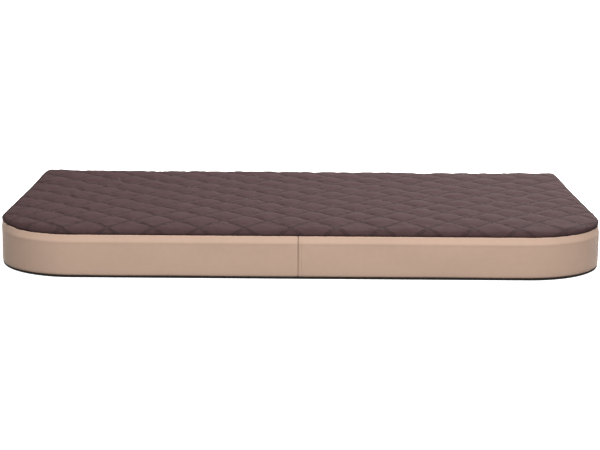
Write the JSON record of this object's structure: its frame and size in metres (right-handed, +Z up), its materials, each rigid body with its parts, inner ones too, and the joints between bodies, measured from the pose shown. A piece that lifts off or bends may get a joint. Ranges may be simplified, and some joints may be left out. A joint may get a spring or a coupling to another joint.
{
  "type": "pet cushion bed",
  "caption": "Flat pet cushion with a diamond-quilted top, a smooth tan side band, two large front corners and a zip along the back.",
  "frame": {"origin": "middle of the plan, on the floor the bed rests on", "axes": "+X along the long side, -Y the front with the two large rounded corners, +Y the back with the zip, +Z up"},
  "size_m": [1, 0.5419, 0.0868],
  "materials": {
    "base_cloth": "dark non-slip cloth with rubber dots",
    "band_cloth": "smooth tan microfibre cloth",
    "band_thread": "tan polyester thread",
    "quilt_cloth": "matt brown microfibre cloth, quilted",
    "quilt_thread": "dark brown polyester thread",
    "wadding": "white polyester wadding",
    "backing_cloth": "thin white backing cloth",
    "liner_cloth": "off-white lining cloth",
    "base_foam": "pale yellow upholstery foam",
    "comfort_foam": "off-white comfort foam",
    "zip_tape": "tan woven tape",
    "zip_coil": "tan nylon coil",
    "zip_metal": "painted zinc, tan to match the tape"
  },
  "bodies": {
    "cushion": {"base_panel": "base_cloth", "boxing_left": "band_cloth", "boxing_right": "band_cloth", "zip_strip_upper": "band_cloth", "zip_strip_lower": "band_cloth", "front_seam_topstitch": "band_thread", "top_quilt_face": "quilt_cloth", "top_quilt_wadding": "wadding", "top_quilt_backing": "backing_cloth", "quilting_thread_rising": "quilt_thread", "quilting_thread_falling": "quilt_thread", "inner_liner": "liner_cloth", "foam_base_layer": "base_foam", "foam_comfort_layer": "comfort_foam", "zip_tape_upper": "zip_tape", "zip_tape_lower": "zip_tape", "zip_coil_upper": "zip_coil", "zip_coil_lower": "zip_coil", "zip_top_stops": "zip_metal", "zip_bottom_stop": "zip_metal", "zip_topstitch_upper": "band_thread", "zip_topstitch_lower": "band_thread", "zip_end_topstitch": "band_thread"},
    "slider": {"zip_slider": "zip_metal"},
    "pull": {"pull_tab": "zip_metal"}
  },
  "joints": [
    {"name": "zip_slide", "type": "slide", "parent": "cushion", "child": "slider", "axis": [-1, 0, 0], "range_m": [0, 0.889]},
    {"name": "pull_hinge", "type": "hinge", "parent": "slider", "child": "pull", "pos_m": [0.4445, 0.2714, 0.035], "axis": [0, 0, -1], "range_deg": [0, 170]}
  ]
}
